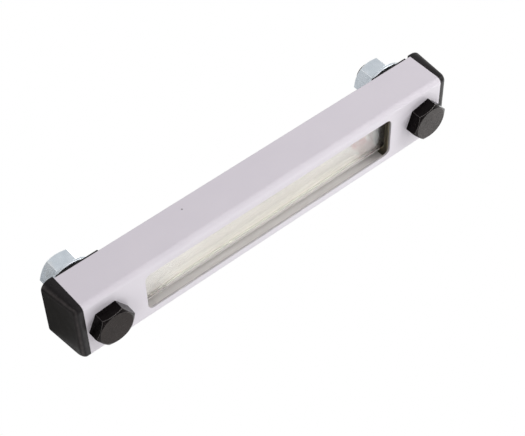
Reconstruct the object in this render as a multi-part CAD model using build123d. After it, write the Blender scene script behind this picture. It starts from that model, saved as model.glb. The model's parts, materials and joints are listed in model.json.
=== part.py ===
from build123d import *
from math import cos, radians, sin, sqrt, tan
import os

os.makedirs("parts", exist_ok=True)

# Frame: Z runs up the gauge, the front faces -Y, and Y = 0 is the tank wall under the two foot seals

# Sizes in millimetres, most of them counted from the two bolt axes
bolt_spacing = 176.0
mount_y = 0.0

# Folded housing
housing_width = 32.5
housing_depth = 20.0
housing_margin = 10.5
housing_length = bolt_spacing + 2 * housing_margin
sheet = 1.0
bend_radius = 2.5
window_margin = 19.5
window_length = bolt_spacing - 2 * window_margin
window_width = 22.0
window_corner = 3.0
housing_hole_radius = 6.3

# Tank side stack
seal_thickness = 2.5
seal_radius = 12.0
seal_hole_radius = 6.4
seal_edge = 0.4
foot_step = 1.5
housing_back = mount_y - seal_thickness - foot_step
housing_front = housing_back - housing_depth
foot_face = mount_y - seal_thickness
inside_front = housing_front + sheet

# Clear tube with a flat front, and the white channel behind it
tube_width = 24.0
tube_depth = 12.8
tube_corner = 4.5
tube_wall = 2.0
tube_y = housing_front + 10.2
tube_end_chamfer = 0.3
reflector_gap = 0.15
reflector_wall = 0.9
reflector_front = tube_y - 4.7

# End fittings
slide_gap = 0.05
fitting_width = housing_width - 2 * sheet - 2 * slide_gap
fitting_reach = 20.0
fitting_recess = 1.5
fitting_inner_end = bolt_spacing / 2 - fitting_reach
fitting_outer_end = housing_length / 2 - fitting_recess
fitting_edge = 1.8
foot_length = 21.0
foot_corner = 0.6
socket_depth = 8.0
socket_chamfer = 0.5
tube_end_gap = 0.2
tube_length = 2 * (fitting_inner_end + socket_depth - tube_end_gap)
reflector_length = 2 * (fitting_inner_end - tube_end_gap)
gallery_radius = 3.5
ring_channel_radius = 7.5
ring_channel_width = 6.0

# Hollow bolts, M12
bolt_radius = 6.0
bolt_clearance = 0.05
head_across_flats = 17.0
head_height = 6.0
bolt_end_y = 14.4
bolt_tip_chamfer = 1.0
bolt_bore_radius = 2.75
cross_hole_radius = 2.25
bore_floor_y = tube_y - 5
head_turn = {"upper": 42.5, "lower": 34.4}

# Flange nuts, M12
nut_across_flats = 17.0
nut_height = 12.0
flange_radius = 13.0
flange_rim = 1.8
flange_root = 4.4
flange_edge = 0.4
flange_foot = 1.0
nut_mouth = 0.6
nut_turn = {"upper": 37.0, "lower": 30.0}

# Corner chamfer of heads and nuts, as a circle this share of the flats' own and an angle in degrees
hex_crown_share = 0.95
hex_chamfer_angle = 30
hex_chamfer_reach = 3.0

# Rubber rings
tube_ring_width = 1.9
tube_ring_height = 1.5
tube_ring_places = (2.4, 5.6)
head_ring_width = 1.6
head_ring_height = 1.9
ring_slack = 0.02
ring_round = 0.55
groove_slack = 0.15

# End caps
cap_lip = 1.5
cap_face_front = 3.8
cap_face_back = 6.6
cap_round_front = 2.2
cap_round_back = 3.8
cap_back = foot_face
cap_back_lean = 0.9
cap_corner = 2.5
cap_back_corner = 0.7
cap_plug_step = 0.4
peg_radius = 1.5
peg_length = 4.5
peg_x = 11.0


def box_between(low, high):
    size = [b - a for a, b in zip(low, high)]
    return Pos(*low) * Box(*size, align=(Align.MIN, Align.MIN, Align.MIN))


def rod(radius, start, end, way):
    """A round rod between two points along one axis."""
    length = sum((b - a) ** 2 for a, b in zip(start, end)) ** 0.5
    plane = Plane(origin=start, z_dir=way)
    return plane * Cylinder(radius, length, align=(Align.CENTER, Align.CENTER, Align.MIN))


def hex_prism(across, y_from, y_to, turn, z):
    """A hexagon along Y whose first corner lies at the angle turn from X towards Z."""
    radius = across / sqrt(3)
    angles = [radians(turn + 60 * k) for k in range(6)]
    corners = [(radius * cos(angle), radius * sin(angle)) for angle in angles]
    base = Plane(origin=(0, y_from, z), x_dir=(1, 0, 0), z_dir=(0, -1, 0))
    return extrude(base * make_face(Polyline(*corners, close=True)), amount=y_to - y_from, dir=(0, 1, 0))


def turned(points, z):
    """Spins an outline of (radius, y) points about the bolt axis."""
    outline = make_face(Polyline(*[(r, y) for r, y in points], close=True))
    return Pos(0, 0, z) * revolve(outline, axis=Axis.Y)


def tube_outline(grown=0.0):
    """The clear tube's outside, grown by this much all round."""
    return RectangleRounded(tube_width + 2 * grown, tube_depth + 2 * grown, tube_corner + grown)


# Housing, one folded sheet with a window and two bolt holes
def housing():
    half = housing_width / 2
    outline = Pos(0, housing_back) * Rectangle(housing_width, 2 * housing_depth)
    outline = fillet(outline.vertices().filter_by(lambda v: v.Y < housing_back), bend_radius)
    hollow = Pos(0, housing_back) * Rectangle(2 * (half - sheet), 2 * (housing_depth - sheet))
    hollow = fillet(hollow.vertices().filter_by(lambda v: v.Y < housing_back), bend_radius - sheet)
    keep = Pos(0, housing_front + housing_depth / 2) * Rectangle(housing_width, housing_depth)
    section = (outline - hollow) & keep
    body = Pos(0, 0, -housing_length / 2) * extrude(section, amount=housing_length)
    front = Plane(origin=(0, housing_front, 0), x_dir=(1, 0, 0), z_dir=(0, -1, 0))
    window = front * RectangleRounded(window_width, window_length, window_corner)
    body -= extrude(window, amount=2 * sheet, both=True)
    for side in (-1, 1):
        at = side * bolt_spacing / 2
        body -= rod(housing_hole_radius, (0, housing_front - 1, at), (0, inside_front + 1, at), (0, 1, 0))
    return body


# Clear tube, one end in the socket of each fitting
def sight_tube():
    tube = extrude(tube_outline() - tube_outline(-tube_wall), amount=tube_length)
    ends = tube.edges().group_by(Axis.Z)
    tube = chamfer(ends[0] + ends[-1], tube_end_chamfer)
    return Pos(0, tube_y, -tube_length / 2) * tube


# White channel round the back and sides of the tube, its back as wide as the housing inside
def reflector_strip():
    inner = tube_outline(reflector_gap)
    outer = tube_outline(reflector_gap + reflector_wall)
    reach = housing_width / 2 - sheet - slide_gap
    back = tube_depth / 2 + reflector_gap + reflector_wall
    section = outer + Pos(0, back - reflector_wall / 2) * Rectangle(2 * reach, reflector_wall)
    section -= inner
    behind = tube_y - reflector_front
    section &= Pos(0, (back - behind) / 2) * Rectangle(2 * reach, back + behind)
    body = extrude(section, amount=reflector_length)
    return Pos(0, tube_y, -reflector_length / 2) * body


# End fitting with foot, tube socket and crossing oil passages, drawn for the top end
def fitting():
    half = fitting_width / 2
    axis_z = bolt_spacing / 2
    body = box_between((-half, inside_front, fitting_inner_end), (half, housing_back, fitting_outer_end))
    front = body.edges().filter_by(Axis.Z).filter_by(lambda e: e.center().Y < tube_y)
    body = fillet(front, fitting_edge)
    foot_low = (-half, housing_back - foot_step, fitting_outer_end - foot_length)
    foot = box_between(foot_low, (half, foot_face, fitting_outer_end))
    body += fillet(foot.edges().filter_by(Axis.Y), foot_corner)
    body -= Pos(0, tube_y, fitting_inner_end) * extrude(tube_outline(slide_gap), amount=socket_depth)
    mouth = Pos(0, tube_y, fitting_inner_end) * tube_outline(slide_gap + socket_chamfer)
    throat = Pos(0, tube_y, fitting_inner_end + socket_chamfer) * tube_outline(slide_gap)
    body -= loft([mouth.face(), throat.face()])
    groove_width = tube_ring_width + 2 * groove_slack
    for place in tube_ring_places:
        groove = extrude(tube_outline(tube_ring_height + 2 * ring_slack), amount=groove_width)
        body -= Pos(0, tube_y, fitting_inner_end + place - groove_width / 2) * groove
    socket_floor = fitting_inner_end + socket_depth
    body -= rod(gallery_radius, (0, tube_y, socket_floor - 1), (0, tube_y, axis_z), (0, 0, 1))
    shank_hole = bolt_radius + bolt_clearance
    body -= rod(shank_hole, (0, inside_front - 1, axis_z), (0, foot_face + 1, axis_z), (0, 1, 0))
    channel = ring_channel_width / 2
    body -= rod(ring_channel_radius, (0, tube_y - channel, axis_z), (0, tube_y + channel, axis_z), (0, 1, 0))
    seat_radius = shank_hole + head_ring_width + ring_slack
    seat_floor = inside_front + head_ring_height + ring_slack
    body -= rod(seat_radius, (0, inside_front - 1, axis_z), (0, seat_floor, axis_z), (0, 1, 0))
    floor = fitting_outer_end - peg_length - groove_slack
    for x in (-peg_x, peg_x):
        body -= rod(peg_radius + slide_gap, (x, tube_y, floor), (x, tube_y, fitting_outer_end + 1), (0, 0, 1))
    return body


# End cap with a leaning outer face, sides rounded over to it, a plug and two pegs, drawn for the top end
def end_cap():
    end = housing_length / 2
    depth = cap_back - housing_front
    middle = (cap_back + housing_front) / 2

    def outline(angle):
        """The cap's section at this angle round the curve from the rim, 0, to the outer face, 90."""
        inward = 1 - cos(radians(angle))
        upward = sin(radians(angle))
        front = cap_lip + (cap_face_front - cap_lip) * upward
        back = cap_lip + (cap_face_back - cap_lip) * upward
        x_front = housing_width / 2 - cap_round_front * inward
        x_back = housing_width / 2 - cap_round_back * inward
        y_front = cap_round_front * inward - depth / 2
        y_back = depth / 2 - cap_back_lean * inward
        corners = [(-x_front, y_front), (x_front, y_front), (x_back, y_back), (-x_back, y_back)]
        face = make_face(Polyline(*corners, close=True))
        face = fillet(face.vertices().filter_by(lambda v: v.Y < 0), cap_corner)
        face = fillet(face.vertices().filter_by(lambda v: v.Y > y_back - 0.1), cap_back_corner)
        lean = Plane(
            origin=(0, middle, end + (front + back) / 2), x_dir=(1, 0, 0), z_dir=(0, front - back, depth)
        )
        return (lean * face).face()

    rim = extrude(outline(0), amount=cap_lip, dir=(0, 0, -1))
    body = rim + loft([outline(angle) for angle in (0, 25, 50, 70, 90)])
    half = fitting_width / 2
    plug = box_between((-half, inside_front, fitting_outer_end), (half, housing_back - cap_plug_step, end))
    body += fillet(plug.edges().filter_by(Axis.Z).filter_by(lambda e: e.center().Y < tube_y), fitting_edge)
    for x in (-peg_x, peg_x):
        body += rod(peg_radius, (x, tube_y, fitting_outer_end - peg_length), (x, tube_y, end), (0, 0, 1))
    return body


# Hollow bolt, head in front and open end in the tank
def banjo_bolt(z, turn):
    head_low = housing_front - head_height
    head = hex_prism(head_across_flats, head_low, housing_front, turn, z)
    crown = head_across_flats / 2 * hex_crown_share
    rim = crown + hex_chamfer_reach
    drop = hex_chamfer_reach * tan(radians(hex_chamfer_angle))
    cone = [(0, head_low), (crown, head_low), (rim, head_low + drop), (rim, housing_front), (0, housing_front)]
    tip = bolt_end_y - bolt_tip_chamfer
    shank = [
        (0, housing_front),
        (bolt_radius, housing_front),
        (bolt_radius, tip),
        (bolt_radius - bolt_tip_chamfer, bolt_end_y),
        (0, bolt_end_y),
    ]
    body = (head & turned(cone, z)) + turned(shank, z)
    body -= rod(bolt_bore_radius, (0, bore_floor_y, z), (0, bolt_end_y + 1, z), (0, 1, 0))
    reach = bolt_radius + 1
    body -= rod(cross_hole_radius, (0, tube_y, z - reach), (0, tube_y, z + reach), (0, 0, 1))
    body -= rod(cross_hole_radius, (-reach, tube_y, z), (reach, tube_y, z), (1, 0, 0))
    return body


# Hexagon nut with a flared flange against the seal
def flange_nut(z, turn):
    top = mount_y + nut_height
    prism = hex_prism(nut_across_flats, mount_y + flange_rim / 2, top, turn, z)
    crown = nut_across_flats / 2 * hex_crown_share
    rim = crown + hex_chamfer_reach
    drop = hex_chamfer_reach * tan(radians(hex_chamfer_angle))
    cone = [(0, mount_y), (rim, mount_y), (rim, top - drop), (crown, top), (0, top)]
    hub = nut_across_flats / 2
    flange = [
        (0, mount_y),
        (flange_radius - flange_edge, mount_y),
        (flange_radius, mount_y + flange_edge),
        (flange_radius, mount_y + flange_rim - flange_edge),
        (flange_radius - flange_edge, mount_y + flange_rim),
        (hub + flange_foot, mount_y + flange_root - flange_foot / 2),
        (hub, mount_y + flange_root),
        (0, mount_y + flange_root),
    ]
    body = (prism & turned(cone, z)) + turned(flange, z)
    body -= rod(bolt_radius + bolt_clearance, (0, mount_y - 1, z), (0, top + 1, z), (0, 1, 0))
    mouth = [(0, top), (bolt_radius + nut_mouth, top), (bolt_radius, top - nut_mouth), (0, top - nut_mouth)]
    return body - turned(mouth, z)


# Squeezed rubber rings, round the bolt under its head and round the tube in its socket
def head_ring(z):
    inner = bolt_radius + bolt_clearance
    middle = (inner + head_ring_width / 2, inside_front + (head_ring_height + ring_slack) / 2)
    section = Pos(*middle) * RectangleRounded(head_ring_width, head_ring_height, ring_round)
    return Pos(0, 0, z) * revolve(section, axis=Axis.Y)


def tube_ring(z):
    outline = tube_outline(ring_slack + tube_ring_height) - tube_outline(ring_slack)
    ring = extrude(outline, amount=tube_ring_width)
    ends = ring.edges().group_by(Axis.Z)
    return Pos(0, tube_y, z - tube_ring_width / 2) * fillet(ends[0] + ends[-1], ring_round)


# Flat rubber seal between the foot and the tank wall
def foot_seal(z):
    section = [
        (seal_hole_radius, foot_face),
        (seal_radius - seal_edge, foot_face),
        (seal_radius, foot_face + seal_edge),
        (seal_radius, mount_y - seal_edge),
        (seal_radius - seal_edge, mount_y),
        (seal_hole_radius, mount_y),
    ]
    return turned(section, z)


solids = {
    "housing": housing(),
    "sight_tube": sight_tube(),
    "reflector_strip": reflector_strip(),
}
for end, side in (("upper", 1), ("lower", -1)):
    z = side * bolt_spacing / 2
    for piece, drawn in (("fitting", fitting()), ("end_cap", end_cap())):
        solids[end + "_" + piece] = drawn if end == "upper" else mirror(drawn, about=Plane.XY)
    solids[end + "_bolt"] = banjo_bolt(z, head_turn[end])
    solids[end + "_nut"] = flange_nut(z, nut_turn[end])
    solids[end + "_foot_seal"] = foot_seal(z)
    solids[end + "_head_ring"] = head_ring(z)
    for count, place in enumerate(tube_ring_places, 1):
        solids[end + "_tube_ring_" + str(count)] = tube_ring(side * (fitting_inner_end + place))

for name, solid in solids.items():
    export_step(solid, "parts/" + name + ".step")
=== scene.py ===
import json
from math import cos, pi, radians, sin

import bmesh
import bpy
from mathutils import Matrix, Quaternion, Vector

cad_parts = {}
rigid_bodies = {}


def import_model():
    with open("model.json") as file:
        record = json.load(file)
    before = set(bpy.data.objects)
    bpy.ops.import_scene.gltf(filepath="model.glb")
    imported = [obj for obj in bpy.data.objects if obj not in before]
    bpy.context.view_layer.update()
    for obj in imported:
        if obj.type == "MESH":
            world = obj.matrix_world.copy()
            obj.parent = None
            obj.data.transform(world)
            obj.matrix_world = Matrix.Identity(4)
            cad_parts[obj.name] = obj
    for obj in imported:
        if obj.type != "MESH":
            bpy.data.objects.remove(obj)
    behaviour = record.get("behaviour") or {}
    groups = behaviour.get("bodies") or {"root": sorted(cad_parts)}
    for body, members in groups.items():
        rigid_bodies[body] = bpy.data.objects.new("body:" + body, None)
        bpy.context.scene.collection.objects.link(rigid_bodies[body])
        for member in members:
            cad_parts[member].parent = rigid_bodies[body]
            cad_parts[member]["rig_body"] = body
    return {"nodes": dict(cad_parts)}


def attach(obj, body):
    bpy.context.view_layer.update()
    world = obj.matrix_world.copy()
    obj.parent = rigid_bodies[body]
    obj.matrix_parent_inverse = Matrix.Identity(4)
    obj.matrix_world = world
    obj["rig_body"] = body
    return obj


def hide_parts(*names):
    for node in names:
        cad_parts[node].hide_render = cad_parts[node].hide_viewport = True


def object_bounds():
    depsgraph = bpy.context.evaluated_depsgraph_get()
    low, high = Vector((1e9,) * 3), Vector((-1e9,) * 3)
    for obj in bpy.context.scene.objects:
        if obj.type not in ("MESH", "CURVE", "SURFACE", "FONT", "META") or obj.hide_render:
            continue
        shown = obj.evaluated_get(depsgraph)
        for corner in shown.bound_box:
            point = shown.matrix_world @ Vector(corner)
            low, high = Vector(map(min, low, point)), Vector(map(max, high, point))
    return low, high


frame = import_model()
cad_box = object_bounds()
nodes = frame["nodes"]

# Camera, on the photograph's viewing angle
eye = Vector((-0.4655, -0.3350, -0.2567))
look_at = Vector((0.0017, -0.0225, -0.0050))
camera_roll = radians(57.04)
lens = 98.2
view_shift = -0.0013

# Light levels, where 1 shows a colour as it is written
sky_level = 0.26
background_level = 1.0

# Floor, which fades into the background
floor_half_width = 3
floor_fade_from = 0.15
floor_fade_to = 0.55

# Lamps
lamp_size = 0.8

# Places on the object, in metres
bolt_spacing = 0.176
tube_side = 0.0066
tube_y = -0.0138
wall_inside = 0.01525
front_inside = -0.0230
socket_mouth = 0.0685
window_side = 0.01105
window_end = 0.06855
fitting_front = -0.009
fitting_behind = -0.005

# Widths over which one colour or finish passes into the next
wall_blend = 0.0003
window_blend = 0.0001
fine_blend = 0.0002
band_blend = 0.0006
milky_blend = 0.0015

# Clear tube: the light that its clear and milky parts let in, the share of rays that pass unbent,
# and the heights between which its milky sides turn clear
clear_share = 0.99
milky_share = 0.14
straight_share = 0.22
milky_until = 0.050
clear_from = 0.064

# Thread of the hollow bolts
thread_pitch = 0.00175
thread_depth = 0.00107
thread_crest = 0.00597
thread_from = -0.003
thread_to = 0.0154
thread_runout = 0.002
thread_crest_flat = 0.125
thread_root_flat = 0.25
sleeve_radius = 0.0072
thread_columns = 72
thread_rows_per_turn = 14
weld_distance = 0.000001
sharp_angle = radians(20)

# Turning marks on the bolt heads
turning_pitch = 0.00022
turning_depth = 0.0000035

# Speck on the paint
speck = (-0.01625, -0.0087, -0.0372)
speck_radius = 0.0005

# Red band inside the reflector channel, near its upper end
band_from = 0.0578
band_to = 0.0662
band_front = -0.0112
band_back = -0.0070


class Material:
    """A new material, built round one Principled shader."""

    def __init__(self, name, **constants):
        self.material = bpy.data.materials.new(name)
        self.material.use_nodes = True
        self.tree = self.material.node_tree
        self.shader = self.tree.nodes["Principled BSDF"]
        self.output = self.tree.nodes["Material Output"]
        for socket, value in constants.items():
            self.shader.inputs[socket.replace("_", " ")].default_value = value
        self.place = self.add("TexCoord").outputs

    def add(self, kind, **settings):
        node = self.tree.nodes.new("ShaderNode" + kind)
        for key, value in settings.items():
            setattr(node, key, value)
        return node

    def put(self, value, socket):
        """Sets a socket to a number or colour, or links another socket to it."""
        if isinstance(value, bpy.types.NodeSocket):
            self.tree.links.new(value, socket)
        else:
            socket.default_value = value

    def math(self, operation, a, b=0.0):
        node = self.add("Math", operation=operation)
        self.put(a, node.inputs[0])
        self.put(b, node.inputs[1])
        return node.outputs[0]

    def axes(self, vector):
        """The X, Y and Z of a vector."""
        node = self.add("SeparateXYZ")
        self.put(vector, node.inputs[0])
        return node.outputs

    def noise(self, size, detail=3.0, stretch=(1, 1, 1)):
        """Noise with features of about this size in metres."""
        scaled = self.add("Mapping")
        self.put(self.place["Object"], scaled.inputs["Vector"])
        scaled.inputs["Scale"].default_value = stretch
        node = self.add("TexNoise")
        self.put(scaled.outputs[0], node.inputs["Vector"])
        node.inputs["Scale"].default_value = 1 / size
        node.inputs["Detail"].default_value = detail
        return node.outputs["Fac"]

    def between(self, value, low, high, to_low=0.0, to_high=1.0):
        """Brings a value from one range to another, held at its ends."""
        node = self.add("MapRange")
        for socket, number in zip(node.inputs, (value, low, high, to_low, to_high)):
            self.put(number, socket)
        return node.outputs[0]

    def blend(self, share, first, second):
        """A colour between two."""
        node = self.add("Mix", data_type="RGBA")
        sockets = [s for s in node.inputs if s.type == "RGBA"]
        self.put(share, node.inputs[0])
        self.put(first, sockets[0])
        self.put(second, sockets[1])
        return next(s for s in node.outputs if s.type == "RGBA")

    def bump(self, height, depth, below=None):
        """A bump of this depth in metres, over another bump or a rounded edge."""
        node = self.add("Bump")
        node.inputs["Distance"].default_value = depth
        self.put(height, node.inputs["Height"])
        if below is not None:
            self.put(below, node.inputs["Normal"])
        return node.outputs[0]

    def soft_edge(self, radius):
        """The normal of a surface whose edges are rounded off."""
        node = self.add("Bevel", samples=6)
        node.inputs["Radius"].default_value = radius
        return node.outputs[0]

    def edges(self, radius):
        """1 along the edges of a surface, 0 away from them."""
        node = self.add("VectorMath", operation="DOT_PRODUCT")
        self.put(self.soft_edge(radius), node.inputs[0])
        self.put(self.add("NewGeometry").outputs["Normal"], node.inputs[1])
        return self.between(node.outputs["Value"], 0.90, 0.99, 1, 0)

    def finish(self, colour, roughness, normal):
        self.put(colour, self.shader.inputs["Base Color"])
        self.put(roughness, self.shader.inputs["Roughness"])
        self.put(normal, self.shader.inputs["Normal"])
        return self.material


# White powder coat, with its orange peel and a little dust, painted paler inside the housing as painted
# light and darker on the cut edges of the window as painted shade
def powder_coat():
    paint = Material("powder_coat", IOR=1.5, Specular_IOR_Level=0.35)
    clouds = paint.noise(0.02)
    x, y, z = paint.axes(paint.place["Object"])
    outside = paint.between(paint.math("ABSOLUTE", x), wall_inside, wall_inside + wall_blend)
    before = paint.between(y, front_inside - wall_blend, front_inside, 1, 0)
    outside = paint.math("MAXIMUM", outside, before)
    lavender = paint.blend(clouds, (0.78, 0.742, 0.80, 1), (0.84, 0.80, 0.85, 1))
    # Painted light: the inside of the housing gets a paler paint than the outside, which lifts the shade
    # inside the window
    colour = paint.blend(outside, (0.90, 0.885, 0.86, 1), lavender)
    # Painted shade: the cut edges of the window are darkened where shade falls on them
    beside = paint.between(paint.math("ABSOLUTE", x), window_side, window_side + window_blend, 1, 0)
    beyond = paint.between(paint.math("ABSOLUTE", z), window_end, window_end + window_blend, 1, 0)
    edgewise = paint.between(paint.math("ABSOLUTE", paint.axes(paint.place["Normal"])[1]), 0.4, 0.6, 1, 0)
    cut = paint.math("MULTIPLY", paint.math("MULTIPLY", beside, beyond), edgewise)
    colour = paint.blend(paint.math("MULTIPLY", cut, 0.6), colour, (0.36, 0.34, 0.33, 1))
    dust = paint.between(paint.noise(0.0011, 6), 0.70, 0.78)
    colour = paint.blend(paint.math("MULTIPLY", dust, 0.35), colour, (0.55, 0.52, 0.50, 1))
    from_speck = paint.add("VectorMath", operation="DISTANCE")
    paint.put(paint.place["Object"], from_speck.inputs[0])
    from_speck.inputs[1].default_value = speck
    spot = paint.between(from_speck.outputs["Value"], speck_radius / 2, speck_radius, 0.8, 0)
    colour = paint.blend(spot, colour, (0.10, 0.09, 0.09, 1))
    roughness = paint.between(paint.noise(0.006), 0.3, 0.7, 0.40, 0.52)
    peel = paint.bump(paint.noise(0.0009, 2), 0.00002, paint.soft_edge(0.0003))
    return paint.finish(colour, roughness, peel)


# Clear tube, milky along its sides, which casts no shadow on what lies behind it
def clear_tube():
    clear = Material("clear_tube", IOR=1.49)
    haze = clear.noise(0.004)
    colour = clear.blend(haze, (0.985, 0.98, 0.975, 1), (0.995, 0.99, 0.985, 1))
    x, y, z = clear.axes(clear.place["Object"])
    sides = clear.between(clear.math("ABSOLUTE", x), tube_side, tube_side + milky_blend)
    sides = clear.math("MULTIPLY", sides, clear.between(y, tube_y, tube_y + milky_blend, 1, 0))
    along = clear.between(clear.math("ABSOLUTE", z), milky_until, clear_from, 1, 0)
    sides = clear.math("MULTIPLY", sides, along)
    colour = clear.blend(sides, colour, (0.97, 0.955, 0.90, 1))
    let_in = clear.between(sides, 0, 1, clear_share, milky_share)
    clear.put(let_in, clear.shader.inputs["Transmission Weight"])
    roughness = clear.between(clear.noise(0.012), 0.3, 0.7, 0.15, 0.18)
    roughness = clear.math("ADD", roughness, clear.math("MULTIPLY", sides, 0.2))
    drawn = clear.bump(clear.noise(0.003, 1, (1, 1, 0.02)), 0.000001)
    clear.finish(colour, roughness, drawn)
    through = clear.add("BsdfTransparent")
    through.inputs[0].default_value = (0.997, 0.997, 0.99, 1)
    either = clear.add("MixShader")
    straight = clear.between(sides, 0, 1, straight_share, 0)
    shadow = clear.add("LightPath").outputs["Is Shadow Ray"]
    clear.put(clear.math("MAXIMUM", shadow, straight), either.inputs[0])
    clear.put(clear.shader.outputs[0], either.inputs[1])
    clear.put(through.outputs[0], either.inputs[2])
    clear.put(either.outputs[0], clear.output.inputs["Surface"])
    tint = clear.add("VolumeAbsorption")
    tint.inputs["Color"].default_value = (0.88, 0.81, 0.35, 1)
    tint.inputs["Density"].default_value = 5
    clear.put(tint.outputs[0], clear.output.inputs["Volume"])
    return clear.material


# White channel behind the tube, with a worn red band near its upper end
def white_strip():
    strip = Material("white_strip", IOR=1.5)
    clouds = strip.noise(0.012)
    colour = strip.blend(clouds, (0.93, 0.89, 0.885, 1), (0.96, 0.925, 0.92, 1))
    _, y, z = strip.axes(strip.place["Object"])
    above = strip.between(z, band_from - band_blend, band_from + band_blend)
    below = strip.between(z, band_to - band_blend, band_to + band_blend, 1, 0)
    behind = strip.between(y, band_front - band_blend, band_front + 2 * band_blend)
    before = strip.between(y, band_back, band_back + fine_blend, 1, 0)
    inside = strip.math("MULTIPLY", behind, before)
    band = strip.math("MULTIPLY", strip.math("MULTIPLY", above, below), inside)
    from_middle = strip.math("ABSOLUTE", strip.math("SUBTRACT", z, (band_from + band_to) / 2))
    strength = strip.between(from_middle, 0.001, (band_to - band_from) / 2, 0.8, 1)
    patchy = strip.between(strip.noise(0.004), 0.3, 0.6, 0.8, 1)
    worn = strip.math("MULTIPLY", strip.math("MULTIPLY", band, strength), patchy)
    colour = strip.blend(worn, colour, (0.56, 0.02, 0.035, 1))
    roughness = strip.between(strip.noise(0.005), 0.3, 0.7, 0.38, 0.5)
    drawn = strip.bump(strip.noise(0.0012, 2, (1, 1, 0.1)), 0.000004)
    return strip.finish(colour, roughness, drawn)


# Moulded plastic of the fittings, one moulding painted brown in front and black behind as painted shade,
# with painted highlights on the edges at the mouth of the tube's socket
def fitting_plastic():
    plastic = Material("fitting_plastic", IOR=1.48, Specular_IOR_Level=0.15)
    colour = plastic.blend(plastic.noise(0.008), (0.005, 0.005, 0.005, 1), (0.013, 0.011, 0.011, 1))
    _, y, z = plastic.axes(plastic.place["Object"])
    brown = plastic.blend(plastic.noise(0.003), (0.036, 0.030, 0.017, 1), (0.062, 0.053, 0.033, 1))
    # Painted shade: the back of the one-colour moulding is painted black and the front brown
    front = plastic.between(y, fitting_front, fitting_behind, 1, 0)
    colour = plastic.blend(front, colour, brown)
    # Painted highlight along the edges at the mouth of the tube's socket
    inner = plastic.between(plastic.math("ABSOLUTE", z), socket_mouth, socket_mouth + fine_blend, 1, 0)
    pale = plastic.math("MULTIPLY", plastic.edges(0.0005), plastic.math("MULTIPLY", front, inner))
    colour = plastic.blend(pale, colour, (0.42, 0.39, 0.30, 1))
    roughness = plastic.between(plastic.noise(0.003), 0.3, 0.7, 0.38, 0.5)
    grain = plastic.bump(plastic.noise(0.00035, 2), 0.000025, plastic.soft_edge(0.0003))
    return plastic.finish(colour, roughness, grain)


# Moulded plastic of the end caps, whose outer face is painted lighter than the sides as painted light,
# with a painted highlight along its rim
def cap_plastic():
    plastic = Material("cap_plastic", IOR=1.48, Specular_IOR_Level=0.16)
    colour = plastic.blend(plastic.noise(0.006), (0.006, 0.005, 0.0055, 1), (0.012, 0.010, 0.011, 1))
    upright = plastic.math("ABSOLUTE", plastic.axes(plastic.place["Normal"])[2])
    # Painted light: the outer face, picked by its normal, is painted lighter than the sides as if lit
    painted_lit_face = plastic.blend(plastic.noise(0.004), (0.036, 0.034, 0.033, 1), (0.047, 0.045, 0.043, 1))
    colour = plastic.blend(plastic.between(upright, 0.88, 0.97), colour, painted_lit_face)
    # Painted highlight, patchy, along the rim of the outer face, picked by the tilt of the normal
    rim_start = plastic.between(upright, 0.45, 0.68)
    rim_end = plastic.between(upright, 0.74, 0.93, 1, 0)
    rim = plastic.math("MULTIPLY", rim_start, rim_end)
    painted_rim_highlight = plastic.math("MULTIPLY", rim, plastic.between(plastic.noise(0.003), 0.3, 0.6, 0.4, 1))
    colour = plastic.blend(painted_rim_highlight, colour, (0.066, 0.058, 0.057, 1))
    roughness = plastic.between(plastic.noise(0.003), 0.3, 0.7, 0.36, 0.48)
    grain = plastic.bump(plastic.noise(0.00035, 2), 0.00002, plastic.soft_edge(0.0003))
    return plastic.finish(colour, roughness, grain)


# Black oxide on steel, with turning marks on the faces of the heads and painted glints along the edges
def black_oxide():
    steel = Material("black_oxide", Metallic=1.0)
    x, _, z = steel.axes(steel.place["Object"])
    facing = steel.axes(steel.place["Normal"])[1]
    face = steel.between(facing, -0.985, -0.975, 1, 0)
    across = steel.math("SUBTRACT", steel.math("ABSOLUTE", z), bolt_spacing / 2)
    squares = steel.math("ADD", steel.math("POWER", x, 2), steel.math("POWER", across, 2))
    radius = steel.math("SQRT", squares)
    rings = steel.math("SINE", steel.math("MULTIPLY", radius, 2 * pi / turning_pitch))
    mottle = steel.noise(0.0025)
    dark = steel.blend(mottle, (0.004, 0.0035, 0.0035, 1), (0.013, 0.011, 0.011, 1))
    turned = steel.blend(mottle, (0.005, 0.0030, 0.0024, 1), (0.013, 0.0090, 0.0076, 1))
    colour = steel.blend(face, dark, turned)
    # Painted glint along the edges
    colour = steel.blend(steel.edges(0.0003), colour, (0.16, 0.15, 0.145, 1))
    roughness = steel.between(steel.noise(0.0012), 0.3, 0.7, 0.24, 0.38)
    grain = steel.bump(steel.noise(0.0004), 0.000012, steel.soft_edge(0.00025))
    marks = steel.bump(steel.math("MULTIPLY", rings, face), turning_depth, grain)
    return steel.finish(colour, roughness, marks)


# Bright zinc with a bluish cast, stained in places, with painted highlights along its edges
def zinc():
    metal = Material("zinc", Metallic=1.0)
    clouds = metal.noise(0.004)
    colour = metal.blend(clouds, (0.42, 0.465, 0.51, 1), (0.64, 0.685, 0.725, 1))
    stain = metal.between(metal.noise(0.009, 5), 0.55, 0.75)
    colour = metal.blend(metal.math("MULTIPLY", stain, 0.5), colour, (0.60, 0.585, 0.53, 1))
    # Painted highlight along the edges
    colour = metal.blend(metal.edges(0.0005), colour, (0.93, 0.95, 0.97, 1))
    roughness = metal.between(metal.noise(0.0015), 0.3, 0.7, 0.20, 0.34)
    drawn = metal.bump(metal.noise(0.0006, 3), 0.000014, metal.soft_edge(0.0003))
    return metal.finish(colour, roughness, drawn)


# Black seal rubber
def rubber():
    soft = Material("rubber", IOR=1.5, Specular_IOR_Level=0.1)
    colour = soft.blend(soft.noise(0.005), (0.005, 0.005, 0.006, 1), (0.016, 0.015, 0.015, 1))
    roughness = soft.between(soft.noise(0.002), 0.3, 0.7, 0.55, 0.75)
    return soft.finish(colour, roughness, soft.bump(soft.noise(0.0005), 0.00002))


def give(material, *names):
    for name in names:
        mesh = nodes[name].data
        mesh.materials.clear()
        mesh.materials.append(material)


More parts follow.
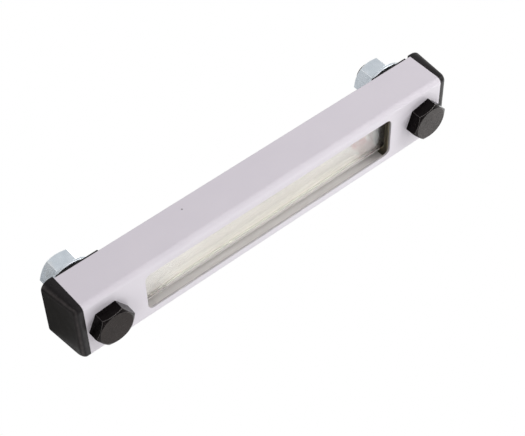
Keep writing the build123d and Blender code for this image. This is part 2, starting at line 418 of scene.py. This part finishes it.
# A thread, cut into a bolt by a closed sleeve with a helix for its inside face
def thread_sleeve(axis_z):
    turns = (thread_to - thread_from) / thread_pitch
    rows = round(turns * thread_rows_per_turn)
    mesh = bmesh.new()

    def ring(y, radius_at):
        made = []
        for column in range(thread_columns):
            angle = 2 * pi * column / thread_columns
            radius = radius_at(angle)
            made.append(mesh.verts.new((radius * sin(angle), y, axis_z + radius * cos(angle))))
        return made

    def groove(y):
        """The radius of the thread at this distance along the bolt, by angle."""

        def radius_at(angle):
            phase = (y / thread_pitch - angle / (2 * pi)) % 1
            slope = abs(phase - 0.5) * 2
            flank = 1 - thread_crest_flat - thread_root_flat
            depth = min(max((1 - thread_crest_flat - slope) / flank, 0), 1)
            fade = min((y - thread_from) / thread_runout, 1)
            return thread_crest - thread_depth * depth * fade

        return radius_at

    places = [thread_from + (thread_to - thread_from) * row / rows for row in range(rows + 1)]
    inside = [ring(y, groove(y)) for y in places]
    outside = [ring(y, lambda angle: sleeve_radius) for y in (thread_from, thread_to)]
    loops = inside + [outside[1], outside[0], inside[0]]
    for low, high in zip(loops, loops[1:]):
        for k in range(thread_columns):
            after = (k + 1) % thread_columns
            mesh.faces.new((low[k], low[after], high[after], high[k]))
    bmesh.ops.recalc_face_normals(mesh, faces=mesh.faces)
    data = bpy.data.meshes.new("thread_sleeve")
    mesh.to_mesh(data)
    mesh.free()
    sleeve = bpy.data.objects.new("thread_sleeve", data)
    bpy.context.scene.collection.objects.link(sleeve)
    return sleeve


def threaded_bolt(name, axis_z, material):
    """Stands a bolt with a cut thread in the place of the plain one."""
    data = nodes[name].data.copy()
    welded = bmesh.new()
    welded.from_mesh(data)
    bmesh.ops.remove_doubles(welded, verts=welded.verts, dist=weld_distance)
    welded.to_mesh(data)
    welded.free()
    bolt = bpy.data.objects.new(name + "_threaded", data)
    bpy.context.scene.collection.objects.link(bolt)
    sleeve = thread_sleeve(axis_z)
    cut = bolt.modifiers.new("thread", "BOOLEAN")
    cut.operation = "DIFFERENCE"
    cut.solver = "EXACT"
    cut.object = sleeve
    bpy.context.view_layer.update()
    evaluated = bolt.evaluated_get(bpy.context.evaluated_depsgraph_get())
    made = bpy.data.meshes.new_from_object(evaluated)
    bolt.modifiers.clear()
    bolt.data = made
    bpy.data.objects.remove(sleeve)
    made.materials.clear()
    made.materials.append(material)
    made.attributes.remove(made.attributes["custom_normal"])
    made.shade_smooth()
    made.set_sharp_from_angle(angle=sharp_angle)
    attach(bolt, nodes[name]["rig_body"])
    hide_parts(name)


# Floor, seen from above only, by the camera and in reflections, and faded out round the object
def floor(height):
    mesh = bmesh.new()
    bmesh.ops.create_grid(mesh, x_segments=4, y_segments=4, size=floor_half_width)
    data = bpy.data.meshes.new("floor")
    mesh.to_mesh(data)
    mesh.free()
    ground = bpy.data.objects.new("floor", data)
    ground.location.z = height
    bpy.context.scene.collection.objects.link(ground)
    pale = Material("pale_floor", IOR=1.4)
    from_middle = pale.add("VectorMath", operation="LENGTH")
    pale.put(pale.place["Object"], from_middle.inputs[0])
    faded = pale.between(from_middle.outputs["Value"], floor_fade_from, floor_fade_to)
    colour = pale.blend(pale.noise(0.4), (0.90, 0.90, 0.90, 1), (0.93, 0.93, 0.93, 1))
    pale.finish(colour, 0.8, pale.bump(pale.noise(0.003), 0.00002))
    through = pale.add("BsdfTransparent")
    either = pale.add("MixShader")
    below = pale.add("NewGeometry").outputs["Backfacing"]
    path = pale.add("LightPath").outputs
    seen = pale.math("MAXIMUM", path["Is Camera Ray"], path["Is Glossy Ray"])
    unseen = pale.math("MAXIMUM", below, pale.math("SUBTRACT", 1, seen))
    pale.put(pale.math("MAXIMUM", unseen, faded), either.inputs[0])
    pale.put(pale.shader.outputs[0], either.inputs[1])
    pale.put(through.outputs[0], either.inputs[2])
    pale.put(either.outputs[0], pale.output.inputs["Surface"])
    data.materials.append(pale.material)


def world():
    """Even light from all round, and a white background for what the camera, metal and glass see."""
    sky = bpy.data.worlds.new("studio")
    sky.use_nodes = True
    bpy.context.scene.world = sky
    tree = sky.node_tree
    path = tree.nodes.new("ShaderNodeLightPath").outputs
    seen = path["Is Camera Ray"]
    for ray in ("Is Glossy Ray", "Is Transmission Ray"):
        either = tree.nodes.new("ShaderNodeMath")
        either.operation = "MAXIMUM"
        tree.links.new(seen, either.inputs[0])
        tree.links.new(path[ray], either.inputs[1])
        seen = either.outputs[0]
    level = tree.nodes.new("ShaderNodeMapRange")
    tree.links.new(seen, level.inputs[0])
    level.inputs[3].default_value = sky_level
    level.inputs[4].default_value = background_level
    background = tree.nodes["Background"]
    background.inputs["Color"].default_value = (1, 1, 1, 1)
    tree.links.new(level.outputs[0], background.inputs["Strength"])


def softbox(name, place, power, size=lamp_size, colour=(1, 1, 1)):
    """A square soft lamp that looks at the middle of the object."""
    data = bpy.data.lights.new(name, "AREA")
    data.shape = "SQUARE"
    data.size = size
    data.energy = power
    data.color = colour
    lamp = bpy.data.objects.new(name, data)
    lamp.location = place
    lamp.rotation_mode = "QUATERNION"
    lamp.rotation_quaternion = (look_at - lamp.location).to_track_quat("-Z", "Y")
    bpy.context.scene.collection.objects.link(lamp)


def camera():
    data = bpy.data.cameras.new("camera")
    data.lens = lens
    data.shift_x = view_shift
    data.clip_start = 0.01
    seen_from = bpy.data.objects.new("camera", data)
    seen_from.location = eye
    seen_from.rotation_mode = "QUATERNION"
    level = (look_at - eye).to_track_quat("-Z", "Y")
    seen_from.rotation_quaternion = level @ Quaternion((0, 0, 1), camera_roll)
    bpy.context.scene.collection.objects.link(seen_from)
    bpy.context.scene.camera = seen_from


camera()
world()
floor(cad_box[0].z)
softbox("high_left_lamp", (-0.70, -0.50, 0.85), 8.0)
softbox("high_right_lamp", (0.50, -0.60, 0.90), 4.8)
softbox("right_lamp", (0.74, -0.96, 0.03), 3.6)
softbox("left_lamp", (-1.20, -0.15, 0.10), 2.2, colour=(1, 0.9, 1))
softbox("low_lamp", (-0.45, -0.55, -1.00), 3.2)
softbox("back_lamp", (0.70, 0.90, 0.60), 6.0, size=0.9)

give(powder_coat(), "housing")
give(clear_tube(), "sight_tube")
give(white_strip(), "reflector_strip")
dark_plastic = fitting_plastic()
black_plastic = cap_plastic()
steel = black_oxide()
bright_zinc = zinc()
seal_rubber = rubber()
for end, side in (("upper", 1), ("lower", -1)):
    give(dark_plastic, end + "_fitting")
    give(black_plastic, end + "_end_cap")
    give(steel, end + "_bolt")
    give(bright_zinc, end + "_nut")
    give(seal_rubber, end + "_foot_seal", end + "_head_ring", end + "_tube_ring_1", end + "_tube_ring_2")
    threaded_bolt(end + "_bolt", side * bolt_spacing / 2, steel)

bpy.context.scene.view_settings.view_transform = "Standard"
